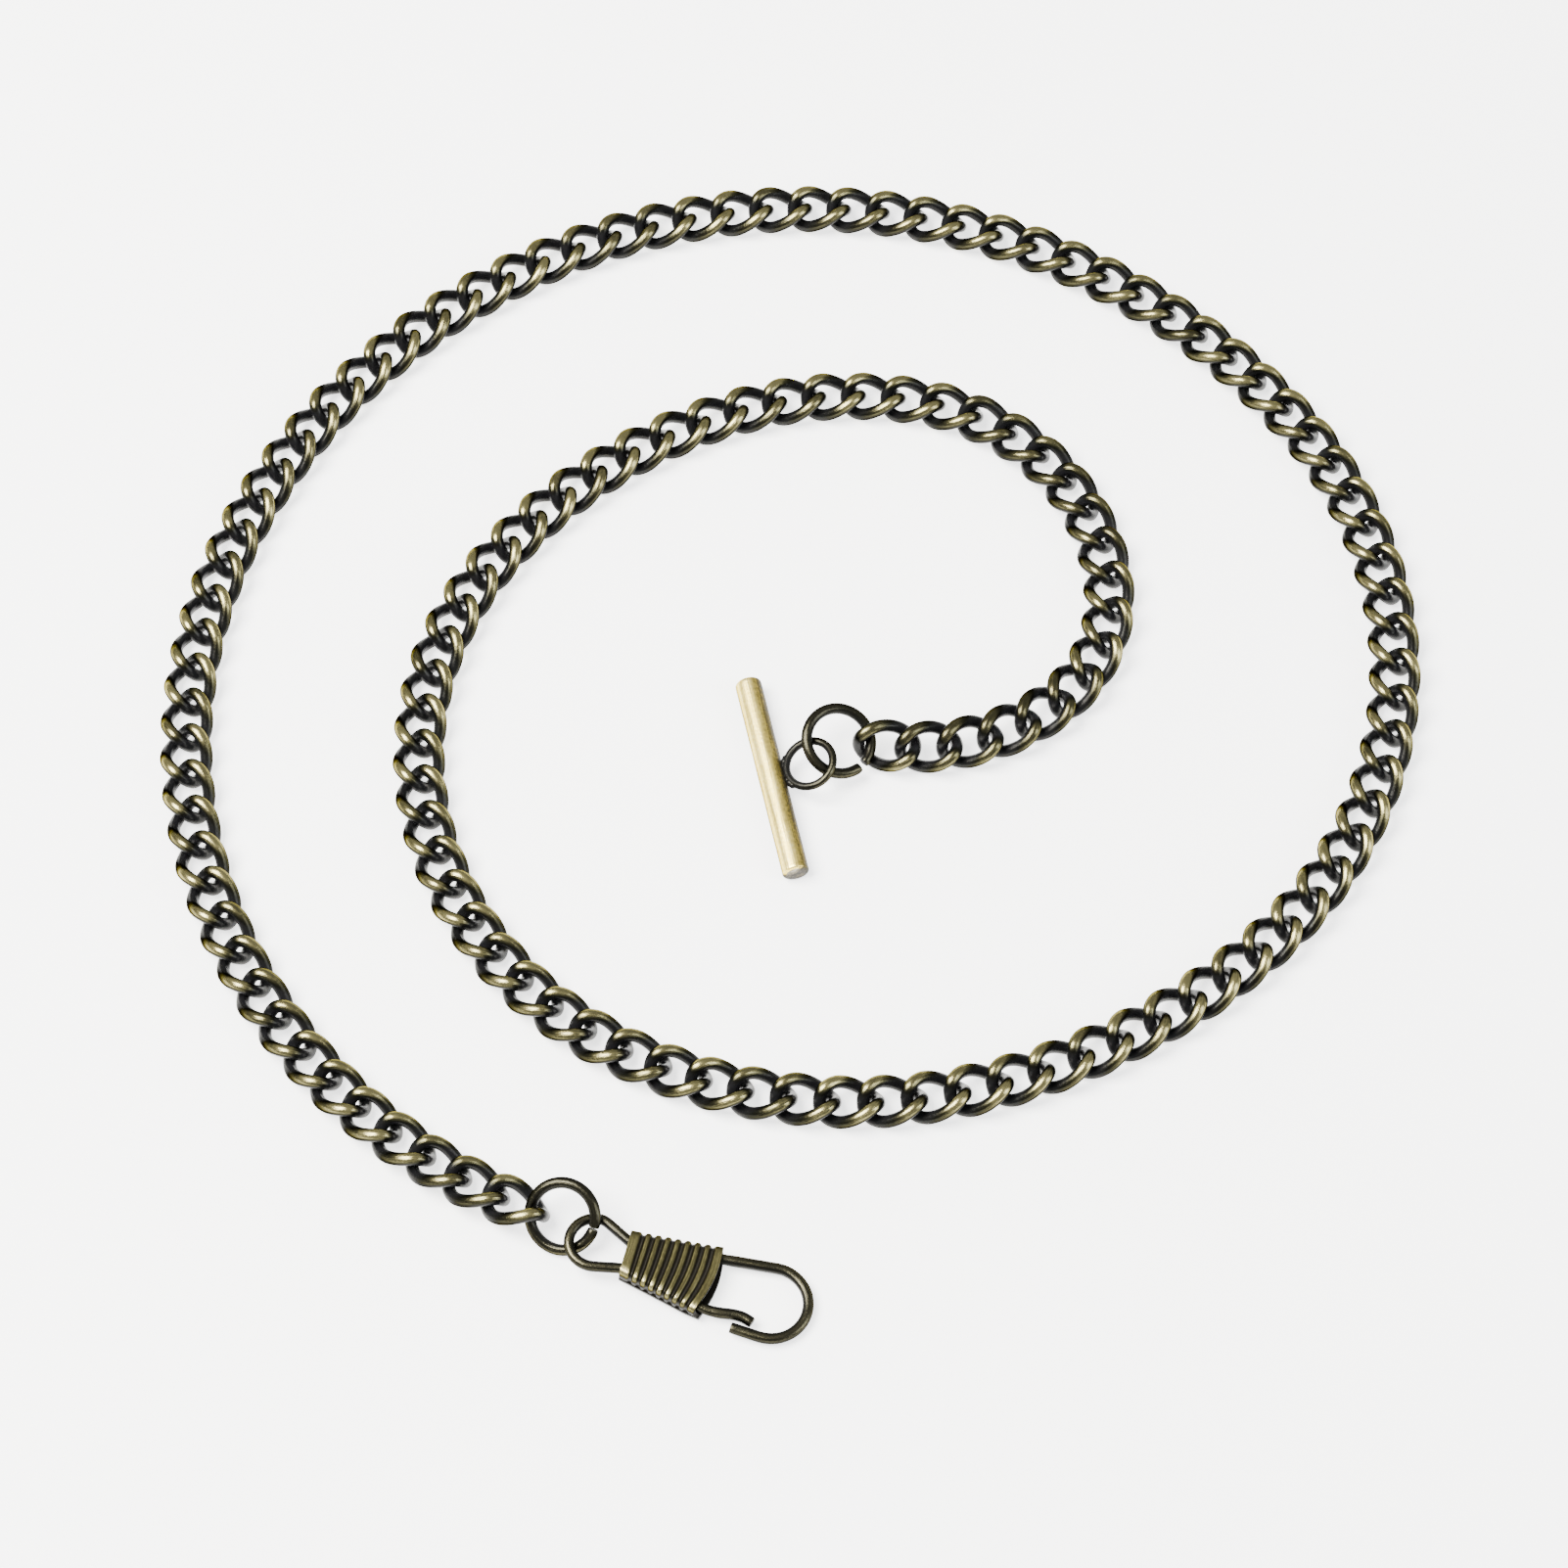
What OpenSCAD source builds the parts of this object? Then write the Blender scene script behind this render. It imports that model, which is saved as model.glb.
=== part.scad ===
// Pocket watch chain laid in a spiral: a curb chain with a T-bar at its inner end
// and a sprung snap clasp at its outer end. Millimetres, +Z up, lying on z = 0.

/* [Chain] */
// Diameter of the link wire
link_wire = 1.4; // [1.2:0.05:1.4]
// Length of a link's centreline
link_length = 6.2; // [6.15:0.05:6.25]
// Width of a link's centreline
link_width = 4.38; // [4.34:0.02:4.6]
// Tilt of a link's end bars out of its own plane
link_twist = 52; // [50:1:54]
// Distance between the centres of neighbouring links
link_pitch = 4.58; // [4.55:0.01:4.62]

/* [T-bar] */
// Length of the bar
bar_length = 24.6; // [20:0.2:30]
// Diameter of the bar
bar_diameter = 2.8; // [2.6:0.1:2.8]
// Bevel round each end of the bar
bar_bevel = 0.15; // [0.05:0.05:0.4]
// Diameter of the wire of the loop soldered to the bar
loop_wire = 0.9; // [0.7:0.05:0.9]
// Radius of the loop's centreline
loop_radius = 2.7; // [2.6:0.05:2.75]
// How far the loop stands up from the surface the bar lies on
loop_rise = 20.4; // [19:0.2:22]

/* [Jump rings] */
// Wire of the ring beside the T-bar
bar_ring_wire = 1.15; // [0.9:0.05:1.15]
// Radius of that ring's centreline
bar_ring_radius = 3.65; // [3.6:0.05:3.7]
// Wire of the ring beside the clasp
clasp_ring_wire = 1.2; // [0.9:0.05:1.2]
// Radius of that ring's centreline
clasp_ring_radius = 3.5; // [3.45:0.05:3.55]

/* [Clasp] */
// Diameter of the clasp's wire
clasp_wire_diameter = 1.1; // [0.9:0.05:1.1]
// Radius of the eye that the jump ring passes through
eye_radius = 2.65; // [2.6:0.05:2.75]
// Radius of the hook's round end
hook_radius = 3.88; // [3.8:0.02:3.9]
// Number of ribs pressed round the sleeve, its two end bands included
sleeve_ribs = 9; // [5:1:10]
// Length of the sleeve
sleeve_length = 9.5; // [9.0:0.1:9.5]
// Thickness of the sleeve over its ribs
sleeve_height = 2.5; // [2.4:0.1:2.9]
// Depth of the grooves between the ribs
rib_depth = 0.32; // [0.2:0.02:0.32]

/* [Hidden] */
// Heading of the chain at chosen links, in degrees anticlockwise from +X.
// Between them the chain lies on an arc.
HEADINGS = [
    [0, -7], [4, 36], [8, 91], [12, 129], [16, 170], [20, 196], [28, 235],
    [36, 286], [44, 335], [52, 374], [60, 404], [68, 445], [76, 485], [84, 514],
    [92, 547], [100, 578], [108, 607], [116, 639], [124, 671], [130, 696],
];
LINKS = 131;
RUN = 3;                         // links in one node
RUNS = ceil(LINKS / RUN);
FIRST_LINK = [10.9, 4.7];        // centre of the link beside the T-bar, from the centre of the spiral
ORIGIN = [0.668, 8.251, -0.052]; // bottom centre of the whole object, from the same point
BAR_END_ROLL = 34.6;             // how far the first link is rolled by the jump ring through it
BAR_END_ROLL_STEP = 4.0;         // and how much less each of the next links is
CLASP_END_ROLL = -18.1;          // the same at the other end
CLASP_END_ROLL_STEP = -3.0;
LINK_SIDES = 12;                 // straight lengths that make up one link
LINK_SQUARENESS = 2.6;           // of a link's outline: 2 is an ellipse, and more has fuller corners
WIRE_SIDES = 6;                  // flats round its wire
CLASP_WIRE_SIDES = 10;
CUT = 4;                         // depth that reaches right through a piece

BAR_CENTRE = [-1.7, 1.35];
BAR_HEADING = 102.5;             // of the bar's upper end
LOOP_OFFSET = -0.14;             // of the loop from the bar's middle
LOOP_SINK = 0.075;               // of the loop's wire into the bar
SOLDER_LENGTH = 3.2;
SOLDER_HEIGHT = 0.7;

BAR_RING_CENTRE = [5.64, 4.8, 3.3];
BAR_RING_TURN = [15, 16.2, 0];
BAR_RING_GAP = [-46, -34];       // from one end of the wire to the other
CLASP_RING_CENTRE = [-23.13, -51.33, 2.71];
CLASP_RING_TURN = [31.6, -15.6, 0];
CLASP_RING_GAP = [-29, -25];

// The clasp's own frame starts at the end of its eye and runs along it to the hook.
CLASP_PLACE = [-22.37, -53.97, 2.3];
CLASP_HEADING = -14.3;
CLASP_DIP = 3.5;
EYE_CENTRE = [2.5, 0.6];
EYE_ARC = [280, 80];
HOOK_CENTRE = [21.6, -0.95];
HOOK_ARC = [88, -92];
HOOK_TIP = [18.3, -4.62];
SLEEVE_START = 5.9;
SLEEVE_FROM = [-1.97, 2.22];     // sides of the sleeve's hollow at its narrow end
SLEEVE_TO = [-3.98, 2.98];        // and at its wide end
SLEEVE_HOLLOW = 1.3;             // height of the hollow
SLEEVE_WALL = 0.25;              // sheet beside the wires, in a groove
SIDE_RIB = 0.15;                 // how much further the ribs stand out there
GROOVE_LAP = 0.12;               // how far a groove's sheet runs on inside the ribs beside it
SLEEVE_CORNER = 0.6;
CORNER_STEPS = 4;
MOUTH_SLANT = 8.8;               // of the sleeve's wide end
SEAM_GAP = 0.15;
SEAM_HEIGHT = -0.4;              // of the seam from the sleeve's middle
WIRE_IN_SLEEVE = [[6.0, -1.36], [13.0, -2.82]];
WIRE_OUT_SLEEVE = [[6.2, 1.5], [15.6, 2.35]];
GATE = [[13.75, -2.95], [14.5, -3.22], [15.6, -3.38], [16.8, -3.44], [18.8, -3.38], [20.3, -3.5]];

BRASS = "#a5935c";
DARK_BRASS = "#4d4531";
OLD_BRASS = "#6f6440";

function unit(v) = v / norm(v);
function way(angle) = [cos(angle), sin(angle)];
function arc(centre, radius, from, to, steps) =
    [for (i = [0:steps]) centre + radius * way(from + (to - from) * i / steps)];
function flat(points) = [for (p = points) [p[0], p[1], 0]];

// Where the chain's links lie
function heading(i) = lookup(i, HEADINGS);
function stride(i) = link_pitch / 2 * (way(heading(i)) + way(heading(i + 1)));
CENTRES = [for (i = 0, p = FIRST_LINK; i < LINKS; p = p + stride(i), i = i + 1) p];
function roll(i) = i < LINKS / 2
    ? max(0, BAR_END_ROLL - i * BAR_END_ROLL_STEP)
    : min(0, CLASP_END_ROLL - (LINKS - 1 - i) * CLASP_END_ROLL_STEP);

// A link's centreline: an oval whose ends are turned opposite ways out of its plane,
// drawn as straight lengths that touch the oval at their middles
function link_point(u) =
    let (
        swell = pow(pow(abs(cos(u)), LINK_SQUARENESS) + pow(abs(sin(u)), LINK_SQUARENESS),
            -1 / LINK_SQUARENESS),
        x = swell * cos(u),
        w = link_width / 2 * swell * sin(u),
        tilt = -link_twist * x
    )
    [link_length / 2 * x, w * cos(tilt), w * sin(tilt)] / cos(180 / LINK_SIDES);
LINK_PATH = [for (i = [0:LINK_SIDES - 1]) link_point(360 * (i + 0.5) / LINK_SIDES)];
function rolled_height(p, angle) = p[1] * sin(angle) + p[2] * cos(angle);
function link_height(angle) =
    link_wire / 2 + max([for (p = LINK_PATH) -rolled_height(p, angle)]);

// Wire bent through a list of points: a ring of corners at each point, square to the wire
// there, joined by triangles. `away` gives the direction the first corner of each ring faces.
module bent_wire(points, away, diameter, sides, closed = false) {
    n = len(points);
    radius = diameter / 2 * (1 + 1 / cos(180 / sides)) / 2;
    function point(i) = points[closed ? (i + n) % n : min(max(i, 0), n - 1)];
    corners = [for (i = [0:n - 1])
        let (
            t = unit(point(i + 1) - point(i - 1)),
            x = unit(away[i] - (away[i] * t) * t),
            y = cross(t, x)
        )
        for (k = [0:sides - 1])
            points[i] + radius * (cos(360 * k / sides) * x + sin(360 * k / sides) * y)
    ];
    function corner(i, k) = (i % n) * sides + k % sides;
    walls = [for (i = [0:closed ? n - 1 : n - 2], k = [0:sides - 1])
        each [
            [corner(i, k), corner(i, k + 1), corner(i + 1, k + 1)],
            [corner(i, k), corner(i + 1, k + 1), corner(i + 1, k)],
        ]
    ];
    ends = closed ? [] : [
        [for (k = [sides - 1:-1:0]) corner(0, k)],
        [for (k = [0:sides - 1]) corner(n - 1, k)],
    ];
    polyhedron(corners, concat(walls, ends), convexity = 6);
}

module link(i) {
    translate([CENTRES[i][0], CENTRES[i][1], link_height(roll(i))])
        rotate([roll(i), 0, heading(i)])
            bent_wire(LINK_PATH, LINK_PATH, link_wire, WIRE_SIDES, closed = true);
}

module chain_run(k) {
    color(OLD_BRASS)
        for (i = [RUN * (k - 1):min(RUN * k, LINKS) - 1]) link(i);
}

// The bar lies along x here, at rest on the surface
module at_bar() {
    translate([BAR_CENTRE[0], BAR_CENTRE[1], bar_diameter / 2])
        rotate([0, 0, BAR_HEADING]) children();
}

module t_bar() {
    r = bar_diameter / 2;
    half = bar_length / 2;
    color(BRASS) at_bar() rotate([0, 90, 0]) rotate_extrude($fn = 64)
        polygon([
            [0, -half], [r - bar_bevel, -half], [r, -half + bar_bevel],
            [r, half - bar_bevel], [r - bar_bevel, half], [0, half],
        ]);
}

// A loop of wire beside the bar, with solder filling the corners between them
module t_bar_loop() {
    reach = (bar_diameter + loop_wire) / 2 - LOOP_SINK + loop_radius;
    color(DARK_BRASS) at_bar() difference() {
        translate([LOOP_OFFSET, 0, 0]) rotate([-loop_rise, 0, 0]) translate([0, -reach, 0]) {
            rotate_extrude($fn = 64) translate([loop_radius, 0]) circle(d = loop_wire, $fn = 32);
            difference() {
                translate([-SOLDER_LENGTH / 2, loop_radius * 0.8, -SOLDER_HEIGHT / 2])
                    cube([SOLDER_LENGTH, reach - loop_radius * 0.8 - 0.5, SOLDER_HEIGHT]);
                cylinder(h = CUT, r = loop_radius, center = true, $fn = 64);
            }
        }
        rotate([0, 90, 0]) cylinder(h = CUT * 2, d = bar_diameter, center = true, $fn = 64);
    }
}

// A ring of wire whose two ends don't quite meet
module jump_ring(radius, wire, gap) {
    rotate([0, 0, gap[1]]) rotate_extrude(angle = 360 - gap[1] + gap[0], $fn = 64)
        translate([radius, 0]) circle(d = wire, $fn = 32);
}

module t_bar_ring() {
    color(DARK_BRASS) translate(BAR_RING_CENTRE) rotate(BAR_RING_TURN)
        jump_ring(bar_ring_radius, bar_ring_wire, BAR_RING_GAP);
}

module clasp_ring() {
    color(DARK_BRASS) translate(CLASP_RING_CENTRE) rotate(CLASP_RING_TURN)
        jump_ring(clasp_ring_radius, clasp_ring_wire, CLASP_RING_GAP);
}

module at_clasp() {
    translate(CLASP_PLACE) rotate([0, CLASP_DIP, CLASP_HEADING]) children();
}

module clasp_bend(path) {
    bent_wire(flat(path), [for (p = path) [0, 0, 1]], clasp_wire_diameter, CLASP_WIRE_SIDES);
}

// The eye, both strands through the sleeve and the hook are one length of wire
module clasp_wire() {
    path = concat(
        [WIRE_IN_SLEEVE[1], WIRE_IN_SLEEVE[0]],
        arc(EYE_CENTRE, eye_radius, EYE_ARC[0], EYE_ARC[1], 10),
        WIRE_OUT_SLEEVE,
        arc(HOOK_CENTRE, hook_radius, HOOK_ARC[0], HOOK_ARC[1], 10),
        [HOOK_TIP]
    );
    color(OLD_BRASS) at_clasp() clasp_bend(path);
}

// The sprung tongue that closes the hook
module clasp_gate() {
    color(OLD_BRASS) at_clasp() clasp_bend(GATE);
}

// Sides of the sleeve's hollow at x
function sleeve_side(side, x) =
    SLEEVE_FROM[side] + (SLEEVE_TO[side] - SLEEVE_FROM[side]) * (x - SLEEVE_START) / sleeve_length;

// Outline of a band round the wires: a rectangle with round corners
function band_outline(low, high, height) =
    let (
        r = SLEEVE_CORNER,
        top = height / 2 - r
    )
    concat(
        arc([high - r, top], r, 0, 90, CORNER_STEPS),
        arc([low + r, top], r, 90, 180, CORNER_STEPS),
        arc([low + r, -top], r, 180, 270, CORNER_STEPS),
        arc([high - r, -top], r, 270, 360, CORNER_STEPS)
    );

// One rib, or one groove, of the sleeve from x to x + length
module sleeve_band(x, length, is_rib) {
    wall = SLEEVE_WALL + (is_rib ? SIDE_RIB : 0);
    height = sleeve_height - (is_rib ? 0 : 2 * rib_depth);
    middle = x + length / 2;
    translate([x, 0, 0]) rotate([90, 0, 90]) linear_extrude(length)
        polygon(band_outline(sleeve_side(0, middle) - wall, sleeve_side(1, middle) + wall, height));
}

module clasp_sleeve() {
    rib = sleeve_length / (2 * sleeve_ribs - 1);
    end = SLEEVE_START + sleeve_length;
    side_slope = atan((SLEEVE_FROM[0] - SLEEVE_TO[0]) / sleeve_length);
    color(BRASS) at_clasp() difference() {
        union() {
            for (i = [0:sleeve_ribs - 1])
                sleeve_band(SLEEVE_START + 2 * i * rib, rib, true);
            for (i = [1:sleeve_ribs - 1])
                sleeve_band(SLEEVE_START + (2 * i - 1) * rib - GROOVE_LAP, rib + 2 * GROOVE_LAP, false);
        }
        translate([0, 0, -SLEEVE_HOLLOW / 2]) linear_extrude(SLEEVE_HOLLOW)
            polygon([
                [SLEEVE_START - 1, sleeve_side(0, SLEEVE_START - 1)],
                [end + 1, sleeve_side(0, end + 1)],
                [end + 1, sleeve_side(1, end + 1)],
                [SLEEVE_START - 1, sleeve_side(1, SLEEVE_START - 1)],
            ]);
        translate([end, sleeve_side(1, end), -CUT / 2])
            rotate([0, 0, -MOUTH_SLANT]) translate([0, -10, 0]) cube([3, 12, CUT]);
        translate([SLEEVE_START, sleeve_side(0, SLEEVE_START), SEAM_HEIGHT])
            rotate([0, 0, -side_slope]) translate([-2, -3, 0])
                cube([sleeve_length + 4, 3.3, SEAM_GAP]);
    }
}

function run_name(k) = str("chain_", k < 10 ? "0" : "", k);

translate(-ORIGIN) {
    t_bar();
    t_bar_loop();
    t_bar_ring();
    for (k = [1:RUNS])
        chain_run(k);
    clasp_ring();
    clasp_wire();
    clasp_gate();
    clasp_sleeve();
}
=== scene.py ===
"""Pocket watch chain: smooth links, rings, T-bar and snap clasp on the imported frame."""

import math
import random

import bpy
from mathutils import Matrix, Vector, noise


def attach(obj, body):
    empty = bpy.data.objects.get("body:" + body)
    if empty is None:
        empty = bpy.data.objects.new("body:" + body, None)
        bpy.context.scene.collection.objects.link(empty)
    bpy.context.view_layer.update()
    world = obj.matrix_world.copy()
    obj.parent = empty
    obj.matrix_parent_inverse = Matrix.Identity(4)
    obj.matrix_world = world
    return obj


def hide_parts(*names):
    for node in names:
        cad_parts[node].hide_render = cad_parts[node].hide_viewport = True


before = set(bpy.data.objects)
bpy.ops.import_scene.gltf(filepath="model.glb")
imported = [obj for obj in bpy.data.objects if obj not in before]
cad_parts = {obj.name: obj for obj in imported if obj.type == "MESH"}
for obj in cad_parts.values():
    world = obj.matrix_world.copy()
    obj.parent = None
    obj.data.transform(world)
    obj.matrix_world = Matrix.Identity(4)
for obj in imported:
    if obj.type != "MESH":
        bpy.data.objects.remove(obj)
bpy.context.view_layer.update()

MM = 0.001
ORIGIN = Vector((0.668, 8.251, -0.052))  # bottom centre of the object, from the spiral's centre

# ---------------------------------------------------------------- the chain's layout, as in the CAD
HEADINGS = [
    (0, -7), (4, 36), (8, 91), (12, 129), (16, 170), (20, 196), (28, 235),
    (36, 286), (44, 335), (52, 374), (60, 404), (68, 445), (76, 485), (84, 514),
    (92, 547), (100, 578), (108, 607), (116, 639), (124, 671), (130, 696),
]
LINKS = 131
RUN = 3
PITCH = 4.58
FIRST_LINK = (10.9, 4.7)
LINK_LENGTH, LINK_WIDTH, LINK_WIRE, LINK_TWIST = 6.2, 4.38, 1.4, 52.0
LINK_SQUARENESS = 2.6
BAR_END_ROLL, CLASP_END_ROLL = (34.6, 4.0), (-18.1, -3.0)  # of the end link, and the step after

BAR_CENTRE = Vector((-1.7, 1.35, 1.4))
BAR_HEADING = 102.5
BAR_LENGTH, BAR_RADIUS = 24.6, 1.4
BAR_SKIN = 0.06  # how much thicker than the CAD's bar it looks
LOOP_RADIUS, LOOP_WIRE, LOOP_RISE, LOOP_OFFSET = 2.7, 0.9, 20.4, -0.14
LOOP_REACH = BAR_RADIUS + LOOP_WIRE / 2 - 0.075 + LOOP_RADIUS

BAR_RING = ((5.64, 4.8, 3.3), (15.0, 16.2), 3.65, 1.2, (-34.0, 314.0))
CLASP_RING = ((-23.13, -51.33, 2.71), (31.6, -15.6), 3.5, 1.2, (-25.0, 331.0))

CLASP_PLACE = Vector((-22.37, -53.97, 2.3))
CLASP_HEADING, CLASP_DIP = -14.3, 3.5
CLASP_WIRE = 1.1
SLEEVE_START, SLEEVE_LENGTH, SLEEVE_HEIGHT = 5.9, 9.5, 2.5
SLEEVE_FROM, SLEEVE_TO = (-1.97, 2.22), (-3.98, 2.98)
SLEEVE_RIBS, RIB_DEPTH, MOUTH_SLANT = 9, 0.32, 8.8
SLEEVE_CORNER = 0.62
FIRST_BAND, LAST_BAND, RIB, GROOVE = 2.1, 1.6, 1.05, 0.95  # widths, relative to each other


def turn(x=0.0, y=0.0, z=0.0):
    """Rotation about x, then y, then z, in degrees."""
    return (
        Matrix.Rotation(math.radians(z), 4, "Z")
        @ Matrix.Rotation(math.radians(y), 4, "Y")
        @ Matrix.Rotation(math.radians(x), 4, "X")
    )


def place(where, rotation):
    return Matrix.Translation(Vector(where) - ORIGIN) @ rotation


def way(angle):
    return Vector((math.cos(math.radians(angle)), math.sin(math.radians(angle)), 0.0))


def heading(i):
    for (a, ha), (b, hb) in zip(HEADINGS, HEADINGS[1:]):
        if i <= b:
            return ha + (hb - ha) * (i - a) / (b - a)
    return HEADINGS[-1][1]


def smooth(low, high, value):
    t = min(max((value - low) / (high - low), 0.0), 1.0)
    return t * t * (3 - 2 * t)


# ---------------------------------------------------------------- camera
ELEVATION = 60.57
DISTANCE = 461.9
target = Vector((-0.35, 0.4, 1.5)) - ORIGIN
camera_data = bpy.data.cameras.new("camera")
camera_data.lens = 97.2
camera_data.sensor_width = 36.0
camera_data.clip_start, camera_data.clip_end = 0.01, 20.0
camera = bpy.data.objects.new("camera", camera_data)
bpy.context.collection.objects.link(camera)
tilt = math.radians(ELEVATION)
camera.location = (target + DISTANCE * Vector((0, -math.cos(tilt), math.sin(tilt)))) * MM
camera.rotation_euler = (math.pi / 2 - tilt, 0, 0)
bpy.context.scene.camera = camera


# ---------------------------------------------------------------- mesh building
class Shape:
    """Points in millimetres, faces, a UV in millimetres along and round the wire, and a value for
    each
    point: from 0 in a tarnished recess to 1 on a polished crown, with painted light and shade on
    some parts."""

    def __init__(self):
        self.points, self.faces, self.uvs, self.wear_and_light = [], [], [], []

    def sweep(self, rings, wear_and_light, closed=False, caps=True):
        """Joins rings of points into a skin. wear_and_light has one value for each point of each
        ring.
        """
        base, count, size = len(self.points), len(rings), len(rings[0])
        for ring, values in zip(rings, wear_and_light):
            self.points += ring
            self.wear_and_light += values
        along = [0.0]
        for a, b in zip(rings, rings[1:] + rings[:1]):
            middle_a = sum(a, Vector()) / size
            along.append(along[-1] + (sum(b, Vector()) / size - middle_a).length)
        belt = rings[count // 2]
        girth = sum((belt[k] - belt[k - 1]).length for k in range(size))
        for i in range(count if closed else count - 1):
            for k in range(size):
                n, m = (i + 1) % count, (k + 1) % size
                self.faces.append((
                    base + i * size + k, base + i * size + m,
                    base + n * size + m, base + n * size + k,
                ))
                v, w = girth * k / size, girth * (k + 1) / size
                self.uvs += [(along[i], v), (along[i], w), (along[i + 1], w), (along[i + 1], v)]
        if caps and not closed:
            for i, order in ((0, range(size - 1, -1, -1)), (count - 1, range(size))):
                self.faces.append(tuple(base + i * size + k for k in order))
                self.uvs += [(along[i], girth * k / size) for k in order]

    def build(self, name, material, body, nodes, slot, sharp=35.0):
        mesh = bpy.data.meshes.new(name)
        mesh.from_pydata([p * MM for p in self.points], [], self.faces)
        layer = mesh.uv_layers.new(name="wire")
        layer.data.foreach_set("uv", [c for uv in self.uvs for c in uv])
        # Per-point value of tarnish and polish, with painted light and shade mixed in on some
        # parts.
        wear_and_light_layer = mesh.attributes.new("wear_and_light", "FLOAT", "POINT")
        wear_and_light_layer.data.foreach_set("value", self.wear_and_light)
        mesh.shade_smooth()
        mesh.set_sharp_from_angle(angle=math.radians(sharp))
        mesh.materials.append(material)
        piece = bpy.data.objects.new(name, mesh)
        bpy.context.collection.objects.link(piece)
        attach(piece, body)
        if nodes:
            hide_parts(*nodes)
        return piece


def tube_rings(path, away, radius, sides, closed=False, squareness=2.0, wide=1.0, tall=1.0):
    """Rings round a path. away[i] is where the ring's first point faces. squareness 2 is a
    circle, and more is a square with round corners. Returns the rings and their normals."""
    rings, normals, count = [], [], len(path)
    for i, point in enumerate(path):
        before = path[i - 1] if closed or i else point
        after = path[(i + 1) % count] if closed or i < count - 1 else point
        t = (after - before).normalized()
        x = (away[i] - away[i].dot(t) * t).normalized()
        y = t.cross(x)
        r = radius[i] if isinstance(radius, list) else radius
        ring, normal = [], []
        for k in range(sides):
            c, s = math.cos(2 * math.pi * k / sides), math.sin(2 * math.pi * k / sides)
            swell = (abs(c) ** squareness + abs(s) ** squareness) ** (-1 / squareness)
            ring.append(point + r * swell * (c * wide * x + s * tall * y))
            normal.append((c * x + s * y).normalized())
        rings.append(ring)
        normals.append(normal)
    return rings, normals


def resample(points, step):
    """The same path with points about step apart."""
    out = []
    for a, b in zip(points, points[1:]):
        n = max(1, round((b - a).length / step))
        out += [a.lerp(b, k / n) for k in range(n)]
    return out + [points[-1]]


def relax(points, rounds):
    """Rounds a path's corners, keeping its ends."""
    for _ in range(rounds):
        points = (
            points[:1]
            + [(a + 2 * b + c) / 4 for a, b, c in zip(points, points[1:], points[2:])]
            + points[-1:]
        )
    return points


def arc(centre, radius, start, end, steps):
    angles = [start + (end - start) * k / steps for k in range(steps + 1)]
    return [Vector(centre) + radius * way(angle) for angle in angles]


def end_taper(count, radius, amount=0.12, rings=3):
    """Radii that draw in a little at both ends, as on a cut wire."""
    radii = []
    for i in range(count):
        edge = min(i, count - 1 - i)
        t = max(0.0, 1 - edge / rings)
        radii.append(radius * (1 - amount * t * t))
    return radii


# ---------------------------------------------------------------- materials
def ramp(nodes, stops):
    node = nodes.new("ShaderNodeValToRGB")
    elements = node.color_ramp.elements
    elements[0].position, elements[0].color = stops[0][0], (*stops[0][1], 1)
    elements[1].position, elements[1].color = stops[-1][0], (*stops[-1][1], 1)
    for position, colour in stops[1:-1]:
        elements.new(position).color = (*colour, 1)
    return node


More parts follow.
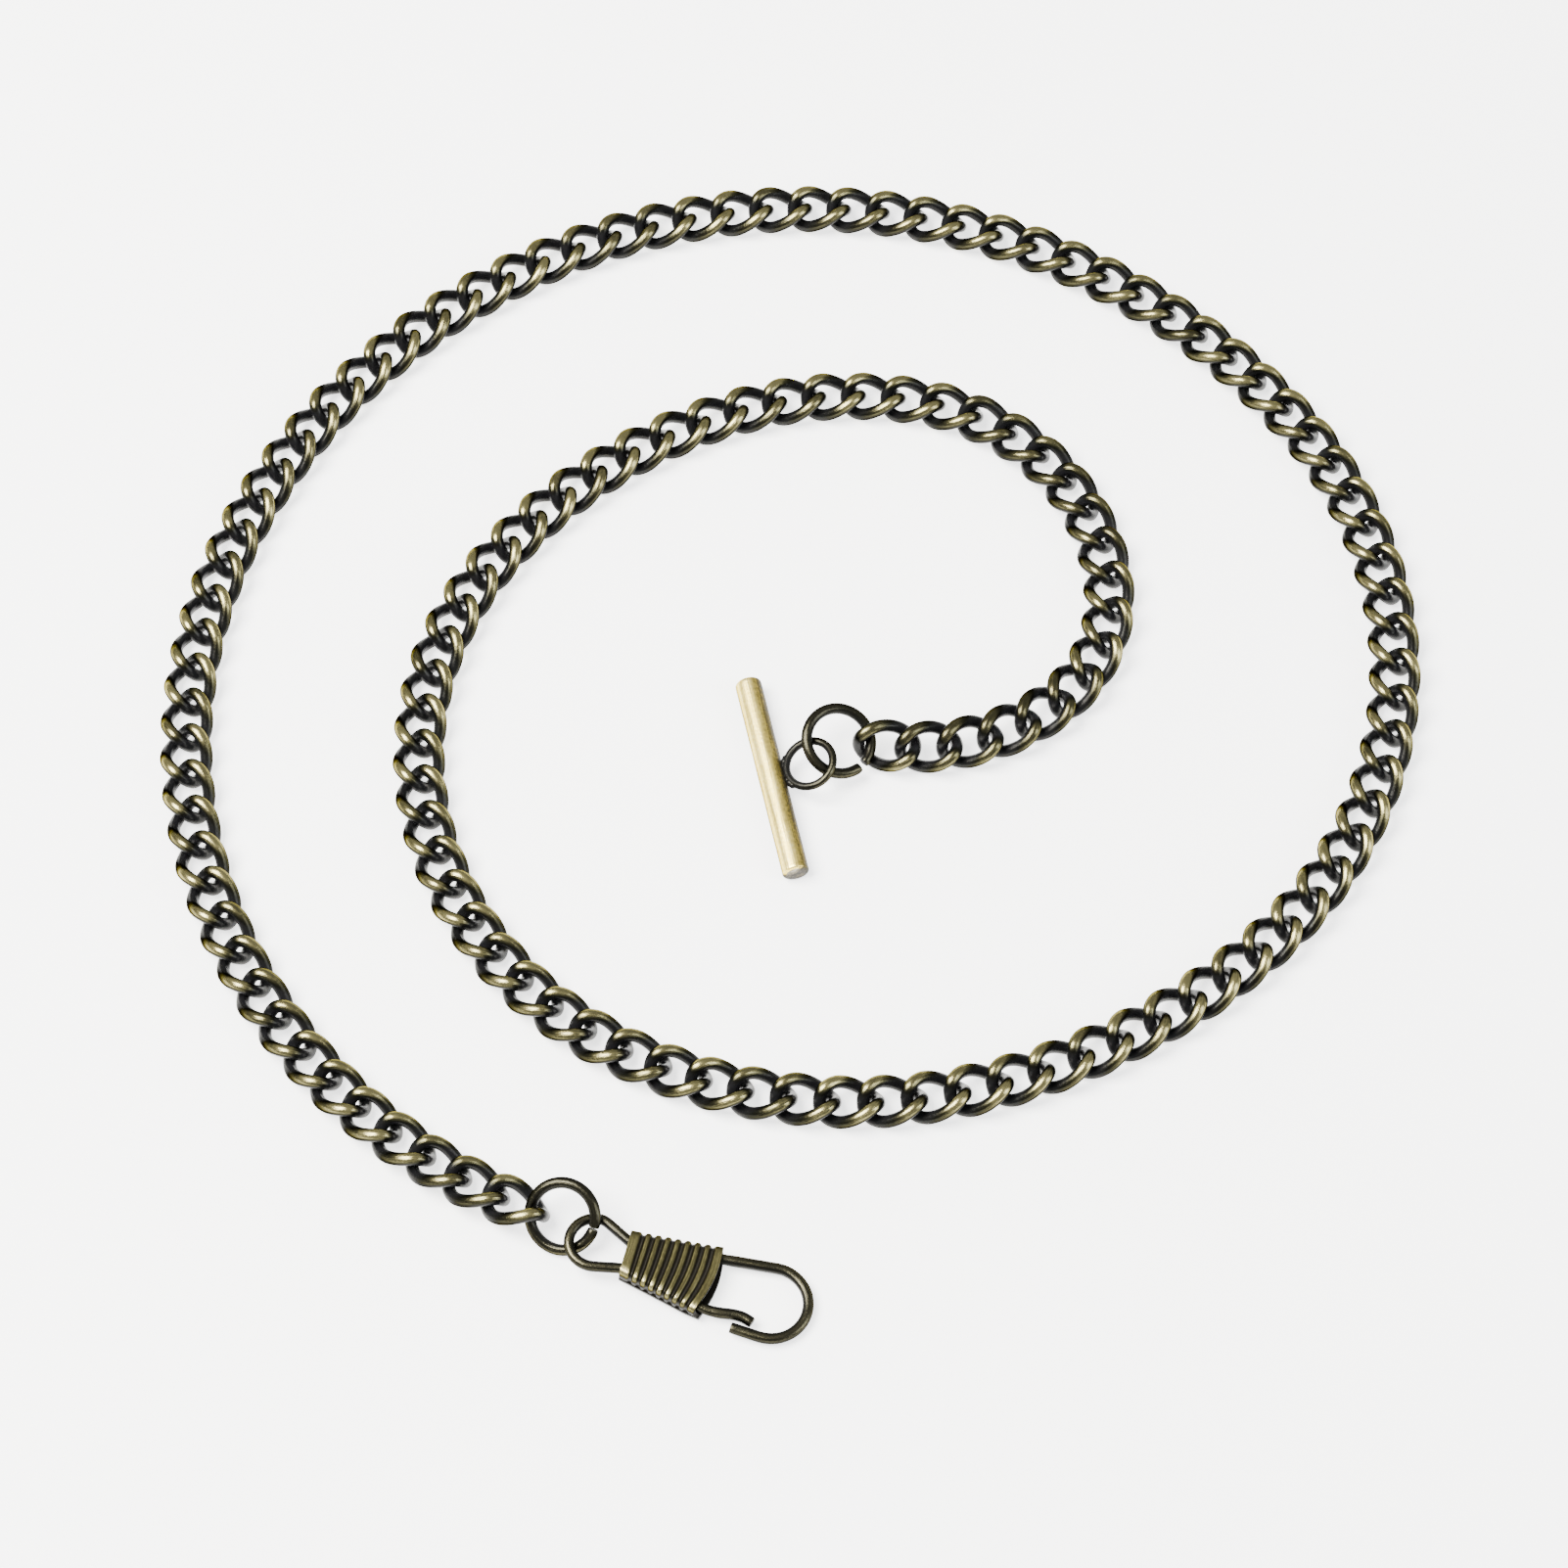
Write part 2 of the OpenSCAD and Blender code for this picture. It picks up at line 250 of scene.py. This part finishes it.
def metal(
    name, stops, rough, streak=(0.35, 7.0), speckle=4.0, grain=0.10, blotch=0.35, bump=0.006,
    space="UV",
):
    """Brass whose colour runs through stops as its per-point value rises, from tarnish and painted
    shade to polish and painted highlight. rough is the roughness at the tarnished end and at the
    polished end. Streaks follow the wire, and speckles break the bright places up: both are scaled
    per millimetre of UV, or per metre where space is Object."""
    material = bpy.data.materials.new(name)
    material.use_nodes = True
    nodes, links = material.node_tree.nodes, material.node_tree.links
    shader = nodes["Principled BSDF"]

    def texture(kind, scale, detail, stretch=None, source=space):
        coordinates = nodes.new("ShaderNodeTexCoord")
        vector = coordinates.outputs[source]
        if stretch:
            mapping = nodes.new("ShaderNodeMapping")
            mapping.inputs["Scale"].default_value = (*stretch, 1)[:3]
            links.new(vector, mapping.inputs["Vector"])
            vector = mapping.outputs["Vector"]
        node = nodes.new(kind)
        node.inputs["Scale"].default_value = scale
        node.inputs["Detail"].default_value = detail
        links.new(vector, node.inputs["Vector"])
        return node.outputs["Fac"]

    def maths(operation, a, b, clamp=False):
        node = nodes.new("ShaderNodeMath")
        node.operation = operation
        node.use_clamp = clamp
        for socket, value in zip(node.inputs, (a, b)):
            if isinstance(value, (int, float)):
                socket.default_value = value
            else:
                links.new(value, socket)
        return node.outputs[0]

    # The colour ramp is driven by tarnish and polish mixed with painted light and shade.
    wear_and_light_layer = nodes.new("ShaderNodeAttribute")
    wear_and_light_layer.attribute_name = "wear_and_light"
    streaks = texture("ShaderNodeTexNoise", 1.0, 4.0, streak)
    spots = texture("ShaderNodeTexNoise", speckle, 3.0)
    clouds = texture("ShaderNodeTexNoise", 230.0, 2.0, source="Object")

    def swing(noise_value, amount):
        return maths("MULTIPLY", maths("SUBTRACT", noise_value, 0.5), amount)

    mask = maths("ADD", wear_and_light_layer.outputs["Fac"], swing(streaks, grain * 4))
    mask = maths("ADD", mask, swing(spots, grain * 2.5))
    mask = maths("ADD", mask, swing(clouds, blotch), clamp=True)
    colour = ramp(nodes, stops)
    links.new(mask, colour.inputs["Fac"])
    links.new(colour.outputs["Color"], shader.inputs["Base Color"])
    metallic = nodes.new("ShaderNodeMapRange")
    metallic.inputs["From Max"].default_value = 0.45
    metallic.inputs["To Min"].default_value = 0.35
    links.new(mask, metallic.inputs["Value"])
    links.new(metallic.outputs["Result"], shader.inputs["Metallic"])
    roughness = nodes.new("ShaderNodeMapRange")
    roughness.inputs["To Min"].default_value = rough[0]
    roughness.inputs["To Max"].default_value = rough[1]
    links.new(maths("ADD", mask, swing(streaks, 0.5)), roughness.inputs["Value"])
    links.new(roughness.outputs["Result"], shader.inputs["Roughness"])
    shader.inputs["Specular Tint"].default_value = (0.28, 0.27, 0.22, 1)
    relief = nodes.new("ShaderNodeBump")
    relief.inputs["Strength"].default_value = 0.55
    relief.inputs["Distance"].default_value = bump * MM * 10
    links.new(maths("ADD", streaks, maths("MULTIPLY", spots, 0.5)), relief.inputs["Height"])
    links.new(relief.outputs["Normal"], shader.inputs["Normal"])
    return material


# Link colours, from tarnish and painted shade at 0 to polished brass at 1.
LINK_WEAR_AND_SHADE_STOPS = [
    (0.0, (0.009, 0.009, 0.010)), (0.30, (0.012, 0.012, 0.011)), (0.50, (0.0185, 0.0178, 0.012)),
    (0.70, (0.035, 0.0325, 0.0175)), (0.87, (0.083, 0.0755, 0.036)), (1.0, (0.26, 0.228, 0.10)),
]
RING_STOPS = [
    (0.0, (0.009, 0.009, 0.009)), (0.35, (0.014, 0.0135, 0.011)), (0.60, (0.031, 0.029, 0.019)),
    (0.85, (0.075, 0.068, 0.038)), (1.0, (0.20, 0.18, 0.10)),
]
SLEEVE_STOPS = [
    (0.0, (0.008, 0.007, 0.006)), (0.30, (0.022, 0.0195, 0.013)), (0.55, (0.070, 0.062, 0.026)),
    (0.80, (0.135, 0.121, 0.050)), (1.0, (0.40, 0.35, 0.17)),
]
BAR_STOPS = [
    (0.0, (0.016, 0.014, 0.008)), (0.28, (0.12, 0.095, 0.030)), (0.52, (0.58, 0.44, 0.105)),
    (0.78, (0.93, 0.73, 0.20)), (1.0, (0.98, 0.84, 0.37)),
]
END_STOPS = [(0.0, (0.04, 0.035, 0.028)), (0.5, (0.17, 0.155, 0.125)), (1.0, (0.42, 0.40, 0.35))]

link_metal = metal("antique_brass_links", LINK_WEAR_AND_SHADE_STOPS, (0.24, 0.24), grain=0.07)
ring_metal = metal("antique_brass_rings", RING_STOPS, (0.24, 0.24), speckle=3.0, grain=0.14)
clasp_metal = metal("antique_brass_clasp", RING_STOPS, (0.26, 0.26), speckle=5.0, grain=0.18)
sleeve_metal = metal("antique_brass_sleeve", SLEEVE_STOPS, (0.36, 0.28), streak=(7.0, 0.35))
bar_metal = metal(
    "satin_brass_bar", BAR_STOPS, (0.40, 0.33), streak=(0.22, 6.0), speckle=2.6, grain=0.24,
    blotch=0.20,
)
end_metal = metal(
    "rough_cut_end", END_STOPS, (0.45, 0.35), streak=(1600.0, 1600.0, 1600.0), speckle=3500.0,
    grain=0.40, bump=0.02, space="Object",
)

# ---------------------------------------------------------------- links
LINK_STEPS, LINK_ROUND = 84, 22


def link_point(u):
    c, s = math.cos(u), math.sin(u)
    swell = (abs(c) ** LINK_SQUARENESS + abs(s) ** LINK_SQUARENESS) ** (-1 / LINK_SQUARENESS)
    along, across = swell * c, LINK_WIDTH / 2 * swell * s
    lean = -math.radians(LINK_TWIST) * along
    return Vector((LINK_LENGTH / 2 * along, across * math.cos(lean), across * math.sin(lean)))


def roll(i):
    if i < LINKS / 2:
        return max(0.0, BAR_END_ROLL[0] - BAR_END_ROLL[1] * i)
    return min(0.0, CLASP_END_ROLL[0] - CLASP_END_ROLL[1] * (LINKS - 1 - i))


oval = [link_point(2 * math.pi * k / LINK_STEPS) for k in range(LINK_STEPS)]
oval_rings, oval_normals = tube_rings(oval, oval, LINK_WIRE / 2, LINK_ROUND, closed=True)


def link_wear_and_shade():
    """Polished where a link stands out of the chain and tarnished inside it, with painted shade
    near the next link's wire.
    """
    wide, high = 3.2, 1.6  # about half the chain's section
    neighbours = [p + Vector((side * PITCH, 0, 0)) for side in (-1, 1) for p in oval[::2]]
    out = []
    for ring, normals in zip(oval_rings, oval_normals):
        row = []
        for p, n in zip(ring, normals):
            reach = (p.y / wide) ** 2 + (p.z / high) ** 2
            outward = Vector((0, p.y / wide**2, p.z / high**2)).normalized()
            facing = smooth(0.15, 1.0, 0.65 * n.dot(outward) + 0.75 * abs(n.z))
            # Painted shade: darker where the next link's wire comes close.
            gap = min((p - q).length for q in neighbours)
            unshaded = 0.45 + 0.55 * smooth(0.70, 1.15, gap)
            row.append(smooth(0.15, 1.25, reach) * facing * unshaded)
        out.append(row)
    return out


def link_height(angle):
    a = math.radians(angle)
    return LINK_WIRE / 2 + max(-(p.y * math.sin(a) + p.z * math.cos(a)) for p in oval)


standard_wear_and_shade = link_wear_and_shade()
random.seed(4)
centres = [Vector((*FIRST_LINK, 0))]
for i in range(LINKS - 1):
    centres.append(centres[-1] + PITCH / 2 * (way(heading(i)) + way(heading(i + 1))))

run_count = math.ceil(LINKS / RUN)
for k in range(1, run_count + 1):
    shape = Shape()
    for i in range(RUN * (k - 1), min(RUN * k, LINKS)):
        where = centres[i] + Vector((0, 0, link_height(roll(i))))
        at = place(where, turn(x=roll(i), z=heading(i)))
        tone = random.uniform(-0.07, 0.07) - 0.10 * smooth(24, 4, i)
        seed = Vector((i * 3.7, i * 1.3, 0))
        rings = []
        for ring, normals, middle in zip(oval_rings, oval_normals, oval):
            rings.append([
                at @ (p + n * 0.012 * noise.noise(p * 0.9 + seed)) for p, n in zip(ring, normals)
            ])
        wear_and_light = [[min(max(w + tone, 0.0), 1.0) for w in row] for row in standard_wear_and_shade]
        shape.sweep(rings, wear_and_light, closed=True)
    shape.build(
        f"chain_links_{k:02d}", link_metal, f"run_{k:02d}", [f"chain_{k:02d}"], "brass_worn"
    )

# ---------------------------------------------------------------- jump rings


def jump_ring(name, ring, body, node):
    centre, tilts, radius, wire, (start, end) = ring
    at = place(centre, turn(x=tilts[0], y=tilts[1]))
    path = arc((0, 0, 0), radius, start, end, 150)
    rings, normals = tube_rings(path, path, end_taper(len(path), wire / 2), 24)
    wear_and_light = []
    for row_points, row_normals in zip(rings, normals):
        row = []
        for p, n in zip(row_points, row_normals):
            # Lighter on the outer face, polished by rubbing, and lighter on top and darker
            # underneath as painted light and shade.
            out = n.dot(Vector((p.x, p.y, 0)).normalized())
            row.append(0.08 + 0.53 * smooth(-0.1, 0.95, 0.35 * out + 0.75 * n.z))
        wear_and_light.append(row)
    shape = Shape()
    shape.sweep([[at @ p for p in ring] for ring in rings], wear_and_light)
    return shape.build(name, ring_metal, body, [node], "brass_dark", sharp=50.0)


jump_ring("bar_jump_ring", BAR_RING, "t_bar_ring", "t_bar_ring")
jump_ring("clasp_jump_ring", CLASP_RING, "clasp_ring", "clasp_ring")

# ---------------------------------------------------------------- T-bar, its loop and the solder
at_bar = place(BAR_CENTRE, turn(z=BAR_HEADING))


def bar_profile():
    """(x, radius) along the bar: a soft bevel at the lower end, a rounder one at the upper."""
    half, radius = BAR_LENGTH / 2, BAR_RADIUS + BAR_SKIN
    lower = [(-half, 0.0), (-half + 0.01, 0.55), (-half, 1.02), (-half + 0.03, 1.10)]
    lower += [
        (-half + 0.05 + 0.20 * (1 - math.cos(a)), 1.18 + 0.28 * math.sin(a))
        for a in (math.pi / 2 * k / 5 for k in range(6))
    ]
    body = [(-half + 0.25 + (BAR_LENGTH - 0.75) * k / 90, radius) for k in range(1, 91)]
    upper = [
        (half - 0.5 + 0.5 * math.sin(a), radius - 0.5 + 0.5 * math.cos(a))
        for a in (math.pi / 2 * k / 8 for k in range(1, 9))
    ]
    return lower + body + upper + [(half, 0.45), (half, 0.0)]


def bar_piece():
    shape, sides = Shape(), 64
    rings, wear_and_light = [], []
    for x, r in bar_profile():
        r = max(r, 0.004)
        ring, row = [], []
        for k in range(sides):
            a = 2 * math.pi * k / sides
            dent = 0.010 * noise.noise(Vector((x * 0.35, math.cos(a) * 1.4, math.sin(a) * 1.4)))
            ring.append(at_bar @ Vector((x, (r + dent) * math.cos(a), (r + dent) * math.sin(a))))
            # Painted light: lighter on top and darker underneath, with painted shade along the side
            # facing local -y; the bevelled ends are darker.
            top_light = math.sin(a)
            shade = smooth(-0.05, 0.90, -math.cos(a))
            bevel = 0.16 if r < 1.40 else 0.0
            row.append((0.80 - 0.68 * shade - bevel) * smooth(-0.35, 0.55, top_light))
        rings.append(ring)
        wear_and_light.append(row)
    shape.sweep(rings, wear_and_light)
    piece = shape.build("toggle_bar", bar_metal, "toggle", ["t_bar"], "brass_satin", sharp=40.0)
    piece.data.materials.append(end_metal)
    low_end = 3 * sides
    for face in piece.data.polygons[:low_end]:
        face.material_index = 1
    return piece


bar_piece()

at_loop = (
    at_bar
    @ Matrix.Translation((LOOP_OFFSET, 0, 0))
    @ Matrix.Rotation(math.radians(-LOOP_RISE), 4, "X")
    @ Matrix.Translation((0, -LOOP_REACH, 0))
)
loop_path = arc((0, 0, 0), LOOP_RADIUS, 90, 450, 120)[:-1]
loop_rings, loop_normals = tube_rings(loop_path, loop_path, LOOP_WIRE / 2, 22, closed=True)


def loop_wear_and_light_at(p, n):
    """The loop's value: polished on its outer face, lighter on top as painted light, fading towards
    the solder.
    """
    facing = smooth(-0.2, 0.9, 0.6 * n.dot(p.normalized()) + 0.5 * n.z)
    return 0.10 + 0.50 * facing * smooth(2.6, -1.0, p.y)


loop_wear_and_light = [
    [loop_wear_and_light_at(p, n) for p, n in zip(ring, normals)]
    for ring, normals in zip(loop_rings, loop_normals)
]
loop_shape = Shape()
loop_shape.sweep([[at_loop @ p for p in ring] for ring in loop_rings], loop_wear_and_light, closed=True)
loop_shape.build("toggle_loop", ring_metal, "toggle", ["t_bar_loop"], "brass_dark")


def solder_piece():
    """Two flared feet and a bridge of solder, from balls melted together by a voxel remesh."""
    random.seed(9)
    shape = Shape()
    balls = [
        (-1.75, 2.42, 0.40), (-1.40, 2.62, 0.46), (-0.95, 2.78, 0.42), (-0.4, 2.82, 0.38),
        (0.2, 2.84, 0.38), (0.8, 2.80, 0.42), (1.3, 2.66, 0.45), (1.7, 2.48, 0.38),
        (0.5, 2.70, 0.36),
    ]
    for x, y, r in balls:
        middle = Vector((x, y, random.uniform(-0.05, 0.05)))
        rings, wear_and_light = [], []
        for i in range(1, 12):
            a = math.pi * i / 12
            ring = [
                Vector((math.sin(a) * math.cos(b), math.sin(a) * math.sin(b), math.cos(a)))
                for b in (2 * math.pi * k / 16 for k in range(16))
            ]
            rings.append([at_loop @ (middle + r * p) for p in ring])
            wear_and_light.append([0.16] * 16)
        shape.sweep(rings, wear_and_light)
    piece = shape.build("toggle_solder", ring_metal, "toggle", [], "brass_dark")
    melt = piece.modifiers.new("melt", "REMESH")
    melt.mode = "VOXEL"
    melt.voxel_size = 0.05 * MM
    melt.use_smooth_shade = True
    soften = piece.modifiers.new("soften", "SMOOTH")
    soften.iterations = 6
    return piece


solder_piece()

# ---------------------------------------------------------------- clasp
at_clasp = place(CLASP_PLACE, turn(y=CLASP_DIP, z=CLASP_HEADING))
UP = Vector((0, 0, 1))


def clasp_wire_wear_and_light(rings, normals):
    wear_and_light = []
    for ring, row in zip(rings, normals):
        values = []
        for p, n in zip(ring, row):
            middle = Vector((min(max(p.x, 3.5), 20.5), 0.0 if p.x < 10 else -0.6, 0))
            out = n.dot((Vector((p.x, p.y, 0)) - middle).normalized())
            # Lighter on the outer face, polished by rubbing, and lighter on top and darker
            # underneath as painted light and shade.
            values.append(0.06 + 0.64 * smooth(0.0, 0.95, 0.25 * out + 0.80 * n.z))
        wear_and_light.append(values)
    return wear_and_light


def clasp_strand(name, path, body, node):
    """A length of the clasp's wire, a little thicker outside the sleeve than in it."""
    radii = [
        r * (1 + 0.06 * smooth(15.6, 17.0, p.x))
        for r, p in zip(end_taper(len(path), CLASP_WIRE / 2, 0.08), path)
    ]
    rings, normals = tube_rings(
        path, [UP] * len(path), radii, 24, squareness=2.3, wide=0.98, tall=0.98
    )
    shape = Shape()
    shape.sweep([[at_clasp @ p for p in ring] for ring in rings], clasp_wire_wear_and_light(rings, normals))
    shape.build(name, clasp_metal, body, [node], "brass_worn", sharp=50.0)


hook_path = [Vector((13.0, -2.82, 0)), Vector((6.0, -1.36, 0))]
hook_path += arc((2.5, 0.6, 0), 2.65, 280, 80, 60)
hook_path += [Vector((6.2, 1.5, 0)), Vector((15.6, 2.35, 0))]
hook_path += arc((21.6, -0.95, 0), 3.88, 88, -92, 60) + [Vector((18.3, -4.62, 0))]
clasp_strand("clasp_hook_wire", relax(resample(hook_path, 0.16), 10), "clasp", "clasp_wire")

gate_path = [Vector((x, y, 0)) for x, y in (
    (13.75, -2.95), (14.5, -3.25), (15.6, -3.44), (16.8, -3.40),
    (18.3, -3.16), (19.3, -3.18), (20.3, -3.53),
)]
clasp_strand("clasp_gate_wire", relax(resample(gate_path, 0.16), 8), "gate", "clasp_gate")


def sleeve_side(side, x):
    t = (x - SLEEVE_START) / SLEEVE_LENGTH
    return SLEEVE_FROM[side] + (SLEEVE_TO[side] - SLEEVE_FROM[side]) * t


def band(low, high, half, corner, steps=7):
    """Section of the folded sheet, open at the seam in its low side: points from the seam's upper
    lip over the top to its lower lip, as (y, z)."""
    seam = -0.36
    points = [(low, seam + 0.05), (low, (half - corner + seam) / 2)]
    for cy, cz, start in (
        (low + corner, half - corner, 180), (high - corner, half - corner, 90),
        (high - corner, -half + corner, 0), (low + corner, -half + corner, -90),
    ):
        for k in range(steps + 1):
            a = math.radians(start - 90 * k / steps)
            points.append((cy + corner * math.cos(a), cz + corner * math.sin(a)))
        if cy == low + corner and cz > 0:
            width = high - low - 2 * corner
            points += [(low + corner + width * j / 8, half) for j in range(1, 8)]
        if cy == high - corner and cz < 0:
            width = high - low - 2 * corner
            points += [(high - corner - width * j / 8, -half) for j in range(1, 8)]
    points += [(low, (-half + corner + seam) / 2), (low, seam - 0.05)]
    return points


def rib_crown(t):
    """Height of the pressed profile at t along the sleeve: 0 in a groove, 1 on a rib or band."""
    x = t * (FIRST_BAND + (SLEEVE_RIBS - 2) * RIB + LAST_BAND + (SLEEVE_RIBS - 1) * GROOVE)
    start, crown = 0.0, 0.0
    for i in range(SLEEVE_RIBS):
        width = FIRST_BAND if i == 0 else LAST_BAND if i == SLEEVE_RIBS - 1 else RIB
        inside = min(x - start if i else 9, start + width - x if i < SLEEVE_RIBS - 1 else 9)
        crown = max(crown, smooth(-0.42, 0.30, inside))
        start += width + GROOVE
    return crown


def sleeve_piece():
    shape = Shape()
    stations = 210
    rings, wear_and_light = [], []
    for s in range(stations + 1):
        t = s / stations
        x = SLEEVE_START + SLEEVE_LENGTH * t
        crown = rib_crown(t)
        half = SLEEVE_HEIGHT / 2 - RIB_DEPTH * (1 - crown)
        wall = 0.25 + 0.15 * crown
        low, high = sleeve_side(0, x) - wall, sleeve_side(1, x) + wall
        outer = band(low, high, half, SLEEVE_CORNER)
        flap = band(sleeve_side(0, x) - 0.46, high, SLEEVE_HEIGHT / 2, SLEEVE_CORNER)
        outer[-10:] = flap[-10:]  # below the seam the sheet is plain
        inner = band(sleeve_side(0, x), sleeve_side(1, x), 0.64, 0.12)
        slant = math.tan(math.radians(MOUTH_SLANT) * t)
        ring, row = [], []
        for side, section in ((1, outer), (0, inner[::-1])):
            for y, z in section:
                across = min(max((y - low) / (high - low), 0.0), 1.0)
                bulge = 0.55 * t * t * math.sin(math.pi * across)
                lip = 0.60 * smooth(0.86, 1.0, t) * smooth(0.2, -0.5, z) * (1 - across) ** 0.5
                p = Vector((x - slant * (sleeve_side(1, x) - y) + bulge + lip, y, z))
                ring.append(at_clasp @ p)
                # Ribs polished against tarnished grooves; painted shade darkens the section's lower
                # part, and a painted highlight runs along the folded edge on the seam side.
                top = smooth(-0.1, 0.9, z / half)
                fold_highlight = math.exp(-(((y - low - 0.45) / 0.5) ** 2)) * top
                row.append((0.04 + (0.56 + 0.40 * fold_highlight) * crown * (0.10 + 0.90 * top)) * side)
        rings.append(ring)
        wear_and_light.append(row)
    shape.sweep(rings, wear_and_light, caps=False)
    size = len(rings[0])
    half_size = size // 2
    for s in (0, stations):
        for k in range(half_size - 1):
            quad = [k, k + 1, size - 2 - k, size - 1 - k]
            if s:
                quad.reverse()
            shape.faces.append(tuple(s * size + q for q in quad))
            shape.uvs += [(k * 0.2, 0), (k * 0.2 + 0.2, 0), (k * 0.2 + 0.2, 0.3), (k * 0.2, 0.3)]
    return shape.build(
        "clasp_sleeve_ribbed", sleeve_metal, "clasp", ["clasp_sleeve"], "brass_satin", sharp=50.0
    )


sleeve_piece()

# ---------------------------------------------------------------- floor and light
floor_mesh = bpy.data.meshes.new("floor")
floor_mesh.from_pydata([(-3, -3, 0), (3, -3, 0), (3, 3, 0), (-3, 3, 0)], [], [(0, 1, 2, 3)])
floor = bpy.data.objects.new("floor", floor_mesh)
bpy.context.collection.objects.link(floor)
floor_paint = bpy.data.materials.new("floor_paint")
floor_paint.use_nodes = True
paint = floor_paint.node_tree.nodes["Principled BSDF"]
paint.inputs["Base Color"].default_value = (0.95, 0.95, 0.95, 1)
paint.inputs["Roughness"].default_value = 0.9
paint.inputs["Emission Color"].default_value = (1, 1, 1, 1)
paint.inputs["Emission Strength"].default_value = 2.2
floor_mesh.materials.append(floor_paint)

world = bpy.data.worlds.new("studio")
bpy.context.scene.world = world
world.use_nodes = True
sky = world.node_tree.nodes["Background"]
sky.inputs["Color"].default_value = (0.93, 0.96, 1.0, 1)
sky.inputs["Strength"].default_value = 0.75


def softbox(name, position, aim, size, watts, colour=(1, 1, 1)):
    lamp = bpy.data.lights.new(name, "AREA")
    lamp.shape = "RECTANGLE"
    lamp.size, lamp.size_y = size
    lamp.energy = watts
    lamp.color = colour
    holder = bpy.data.objects.new(name, lamp)
    bpy.context.collection.objects.link(holder)
    holder.location = position
    holder.rotation_euler = (Vector(aim) - Vector(position)).to_track_quat("-Z", "Y").to_euler()
    return holder


softbox("key_softbox", (-0.34, -0.02, 0.60), (0, 0, 0), (0.42, 0.42), 22.0, (1.0, 0.98, 0.93))
softbox("fill_softbox", (0.55, -0.20, 0.35), (0, 0, 0), (0.25, 0.50), 4.0, (0.92, 0.96, 1.0))
